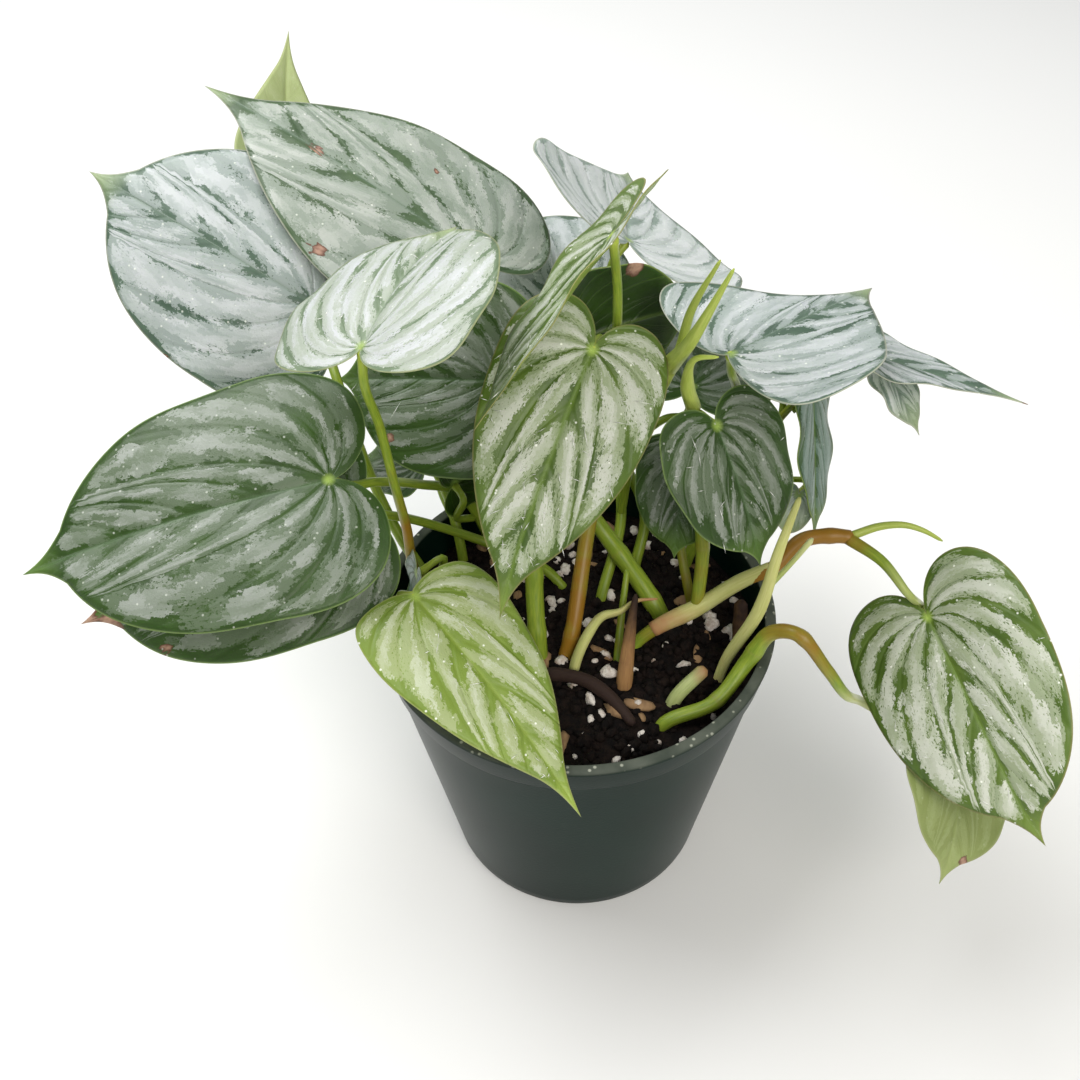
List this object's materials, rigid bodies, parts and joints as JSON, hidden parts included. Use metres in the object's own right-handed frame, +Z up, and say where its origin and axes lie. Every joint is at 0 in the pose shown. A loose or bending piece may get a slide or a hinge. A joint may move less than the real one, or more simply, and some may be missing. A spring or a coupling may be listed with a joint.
{
  "type": "potted philodendron",
  "caption": "Small leafy houseplant in a tapered nursery pot: heart-shaped silver-patterned leaves on slender stalks over dark soil, with two stems trailing over the rim.",
  "frame": {"origin": "centre of the pot's flat base, on the surface it stands on", "axes": "+Z up, -Y towards the side the picture shows, +X to the right in that view, where the two trailing stems hang"},
  "size_m": [0.2583, 0.2366, 0.2131],
  "materials": {
    "pot": "satin dark green polypropylene",
    "soil": "damp dark potting mix",
    "leaf_young": "satin, silvery cream on light green",
    "leaf_mature": "satin, grey-silver on dark green",
    "leaf_old": "satin, blue-silver on grey-green",
    "leaf_shaded": "matte green underside",
    "stem": "smooth green stalk",
    "dry_sheath": "papery pale leaf sheath",
    "new_shoot": "smooth yellow-green rolled leaf",
    "bark": "dry brown twig"
  },
  "bodies": {
    "root": {"pot": "pot", "soil": "soil", "leaf_left": "leaf_mature", "leaf_left_under": "leaf_mature", "leaf_back_left": "leaf_old", "leaf_top_left": "leaf_old", "leaf_young_left": "leaf_young", "leaf_mid_left": "leaf_mature", "leaf_centre_high": "leaf_young", "leaf_front": "leaf_young", "leaf_small_right": "leaf_mature", "leaf_small_right_under": "leaf_mature", "leaf_right": "leaf_old", "leaf_far_right": "leaf_old", "leaf_right_low": "leaf_old", "leaf_top_right": "leaf_old", "leaf_centre_back": "leaf_shaded", "leaf_back_centre": "leaf_old", "leaf_back_low": "leaf_mature", "leaf_back_right": "leaf_mature", "leaf_back_upright": "leaf_shaded", "leaf_right_hanging": "leaf_shaded", "leaf_right_small": "leaf_young", "leaf_inner_left": "leaf_mature", "leaf_inner_turned": "leaf_shaded", "leaf_inner_low": "leaf_shaded", "leaf_front_left": "leaf_young", "leaf_trailing": "leaf_young", "leaf_trailing_under": "leaf_shaded", "stem_front": "stem", "stem_centre": "stem", "stem_leaning": "stem", "stem_inner": "stem", "stem_inner_back": "stem", "stem_thin": "stem", "stem_right_vine": "stem", "stem_right_thin": "stem", "stem_right_back": "stem", "stem_front_vine": "stem", "stem_left_young": "stem", "stem_left_back": "stem", "stem_left": "stem", "stem_left_low": "stem", "stem_left_top": "stem", "stem_left_low_leaf": "stem", "stem_back": "stem", "stem_front_left": "stem", "sheath_curled": "dry_sheath", "sheath_long": "dry_sheath", "sheath_dead": "bark", "shoot_pair": "new_shoot", "shoot_hooked": "new_shoot", "shoot_trailing": "new_shoot", "twig_dark": "bark", "stub_cut": "stem", "stub_woody": "bark"}
  },
  "joints": []
}
